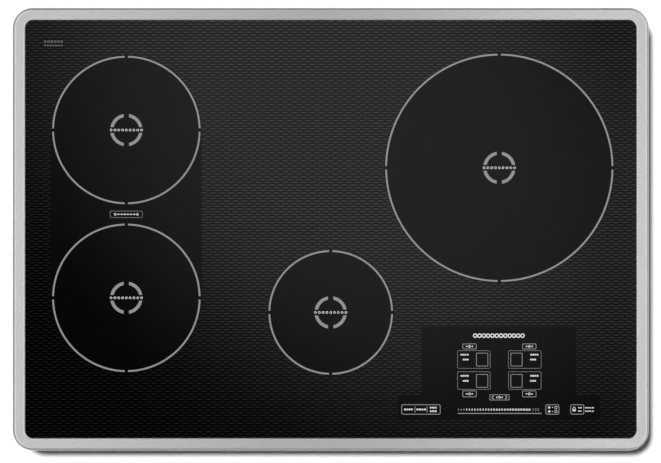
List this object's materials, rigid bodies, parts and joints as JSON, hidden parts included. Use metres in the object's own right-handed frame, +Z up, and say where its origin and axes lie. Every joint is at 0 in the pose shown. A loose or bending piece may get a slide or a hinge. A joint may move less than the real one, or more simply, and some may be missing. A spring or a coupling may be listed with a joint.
{
  "type": "electric induction cooktop",
  "caption": "Built-in induction cooktop: black glass-ceramic top in a stainless trim over a sheet-steel burner box, with sprung coils, blowers and hold-down clamps.",
  "frame": {"origin": "middle of the burner box's flat underside, which is also the middle of the whole width and depth", "axes": "+X to the cook's right, +Y away from the cook, +Z up out of the glass"},
  "size_m": [0.783, 0.545, 0.096],
  "materials": {
    "glass_ceramic": "black glass-ceramic, polished, with a printed dash pattern",
    "stainless_trim": "brushed stainless steel",
    "black_silicone": "black silicone adhesive",
    "galvanised_sheet": "galvanised sheet steel",
    "gasket_foam": "closed-cell foam strip",
    "zinc_screw": "zinc-plated steel",
    "zinc_bracket": "zinc-plated sheet steel",
    "pad_rubber": "moulded rubber",
    "deck_aluminium": "mill-finish aluminium sheet",
    "sensor_ceramic": "ceramic and silicone sensor",
    "copper_litz": "varnished copper litz wire",
    "wire_insulation": "extruded wire insulation",
    "circuit_board": "glass-epoxy board with green solder mask",
    "heatsink_aluminium": "extruded aluminium",
    "black_epoxy": "moulded epoxy",
    "capacitor_sleeve": "film capacitor cases and shrink sleeves",
    "nylon": "natural nylon",
    "blower_plastic": "glass-filled black plastic",
    "motor_steel": "laminated steel stator",
    "impeller_plastic": "moulded black plastic",
    "bushing_plastic": "black nylon bushing",
    "tray_plastic": "moulded black plastic",
    "spring_steel": "spring steel wire",
    "display_plastic": "filtered display window",
    "ferrite": "sintered ferrite",
    "mica_sheet": "pressed mica sheet"
  },
  "bodies": {
    "chassis": {"glass_top": "glass_ceramic", "trim_frame": "stainless_trim", "glass_seal": "black_silicone", "carrier_frame": "galvanised_sheet", "carrier_rails": "galvanised_sheet", "counter_gasket": "gasket_foam", "base_pan": "galvanised_sheet", "case_screws": "zinc_screw", "bracket_left": "zinc_bracket", "bracket_right": "zinc_bracket", "coil_deck": "deck_aluminium", "deck_posts": "zinc_screw", "pan_sensors": "sensor_ceramic", "coil_leads": "copper_litz", "wiring_harness": "wire_insulation", "power_board_left": "circuit_board", "power_board_right": "circuit_board", "heatsink_left": "heatsink_aluminium", "heatsink_right": "heatsink_aluminium", "power_transistors": "black_epoxy", "capacitors": "capacitor_sleeve", "chokes": "copper_litz", "board_standoffs": "nylon", "blower_housing_left": "blower_plastic", "blower_housing_right": "blower_plastic", "blower_motor_left": "motor_steel", "blower_motor_right": "motor_steel", "filter_board": "circuit_board", "terminal_block": "nylon", "inlet_bushing": "bushing_plastic", "touch_board": "circuit_board", "touch_tray": "tray_plastic", "touch_springs": "spring_steel", "displays": "display_plastic", "springs_left_rear": "spring_steel", "springs_left_front": "spring_steel", "springs_centre_front": "spring_steel", "springs_right_rear": "spring_steel"},
    "coil_left_rear": {"coil_carrier_left_rear": "deck_aluminium", "winding_left_rear": "copper_litz", "ferrites_left_rear": "ferrite", "mica_left_rear": "mica_sheet"},
    "coil_left_front": {"coil_carrier_left_front": "deck_aluminium", "winding_left_front": "copper_litz", "ferrites_left_front": "ferrite", "mica_left_front": "mica_sheet"},
    "coil_centre_front": {"coil_carrier_centre_front": "deck_aluminium", "winding_centre_front": "copper_litz", "ferrites_centre_front": "ferrite", "mica_centre_front": "mica_sheet"},
    "coil_right_rear": {"coil_carrier_right_rear": "deck_aluminium", "winding_right_rear": "copper_litz", "ferrites_right_rear": "ferrite", "mica_right_rear": "mica_sheet"},
    "fan_rotor_left": {"impeller_left": "impeller_plastic"},
    "clamp_foot_left": {"clamp_pad_left": "pad_rubber"},
    "clamp_bolt_left": {"clamp_screw_left": "zinc_screw"},
    "fan_rotor_right": {"impeller_right": "impeller_plastic"},
    "clamp_foot_right": {"clamp_pad_right": "pad_rubber"},
    "clamp_bolt_right": {"clamp_screw_right": "zinc_screw"}
  },
  "joints": [
    {"name": "coil_float_left_rear", "type": "slide", "parent": "chassis", "child": "coil_left_rear", "axis": [0, 0, 1], "range_m": [-0.004, 0], "stiffness_N_per_m": 2500, "springref_m": 0.012, "deforming": ["springs_left_rear"]},
    {"name": "coil_float_left_front", "type": "slide", "parent": "chassis", "child": "coil_left_front", "axis": [0, 0, 1], "range_m": [-0.004, 0], "stiffness_N_per_m": 2500, "springref_m": 0.012, "deforming": ["springs_left_front"]},
    {"name": "coil_float_centre_front", "type": "slide", "parent": "chassis", "child": "coil_centre_front", "axis": [0, 0, 1], "range_m": [-0.004, 0], "stiffness_N_per_m": 2000, "springref_m": 0.012, "deforming": ["springs_centre_front"]},
    {"name": "coil_float_right_rear", "type": "slide", "parent": "chassis", "child": "coil_right_rear", "axis": [0, 0, 1], "range_m": [-0.004, 0], "stiffness_N_per_m": 5000, "springref_m": 0.012, "deforming": ["springs_right_rear"]},
    {"name": "fan_spin_left", "type": "hinge", "parent": "chassis", "child": "fan_rotor_left", "pos_m": [-0.285, 0.165, 0.018], "axis": [0, 0, 1], "continuous": true},
    {"name": "clamp_rise_left", "type": "slide", "parent": "chassis", "child": "clamp_foot_left", "axis": [0, 0, 1], "range_m": [0, 0.023]},
    {"name": "clamp_turn_left", "type": "hinge", "parent": "clamp_foot_left", "child": "clamp_bolt_left", "pos_m": [-0.376, 0, 0.02], "axis": [0, 0, 1], "range_deg": [0, 8281]},
    {"name": "fan_spin_right", "type": "hinge", "parent": "chassis", "child": "fan_rotor_right", "pos_m": [0.285, 0.165, 0.018], "axis": [0, 0, 1], "continuous": true},
    {"name": "clamp_rise_right", "type": "slide", "parent": "chassis", "child": "clamp_foot_right", "axis": [0, 0, 1], "range_m": [0, 0.023]},
    {"name": "clamp_turn_right", "type": "hinge", "parent": "clamp_foot_right", "child": "clamp_bolt_right", "pos_m": [0.376, 0, 0.02], "axis": [0, 0, 1], "range_deg": [0, 8281]}
  ],
  "couplings": [
    {"joint": "clamp_turn_left", "follows": "clamp_rise_left", "rad_per_m": 6283.2},
    {"joint": "clamp_turn_right", "follows": "clamp_rise_right", "rad_per_m": 6283.2}
  ]
}
